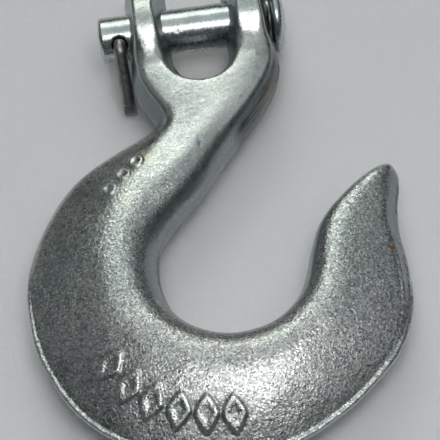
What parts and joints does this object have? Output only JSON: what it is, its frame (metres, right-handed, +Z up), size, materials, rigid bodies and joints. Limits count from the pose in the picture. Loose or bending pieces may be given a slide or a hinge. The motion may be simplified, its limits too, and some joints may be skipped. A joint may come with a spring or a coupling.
{
  "type": "clevis slip hook",
  "caption": "Forged clevis slip hook for a trailer safety chain, with a headed clevis pin that turns in its fork and is kept by a split pin.",
  "frame": {"origin": "centre of the clevis pin's axis, midway between the two ears, on the forging's parting plane", "axes": "+X along the clevis pin towards its head, +Y out of the clevis mouth with the bowl at -Y, +Z up, square to the flat of the hook"},
  "size_m": [0.0835, 0.1212, 0.0234],
  "materials": {
    "forging": "bright zinc plate over a shot-blasted forging",
    "pin": "smooth bright zinc plate",
    "split_pin": "dull zinc-plated wire"
  },
  "bodies": {
    "hook": {"hook_body": "forging"},
    "pin": {"clevis_pin": "pin", "split_pin": "split_pin"}
  },
  "joints": [
    {"name": "pin_turn", "type": "hinge", "parent": "hook", "child": "pin", "pos_m": [0, 0, 0], "axis": [1, 0, 0], "continuous": true}
  ]
}
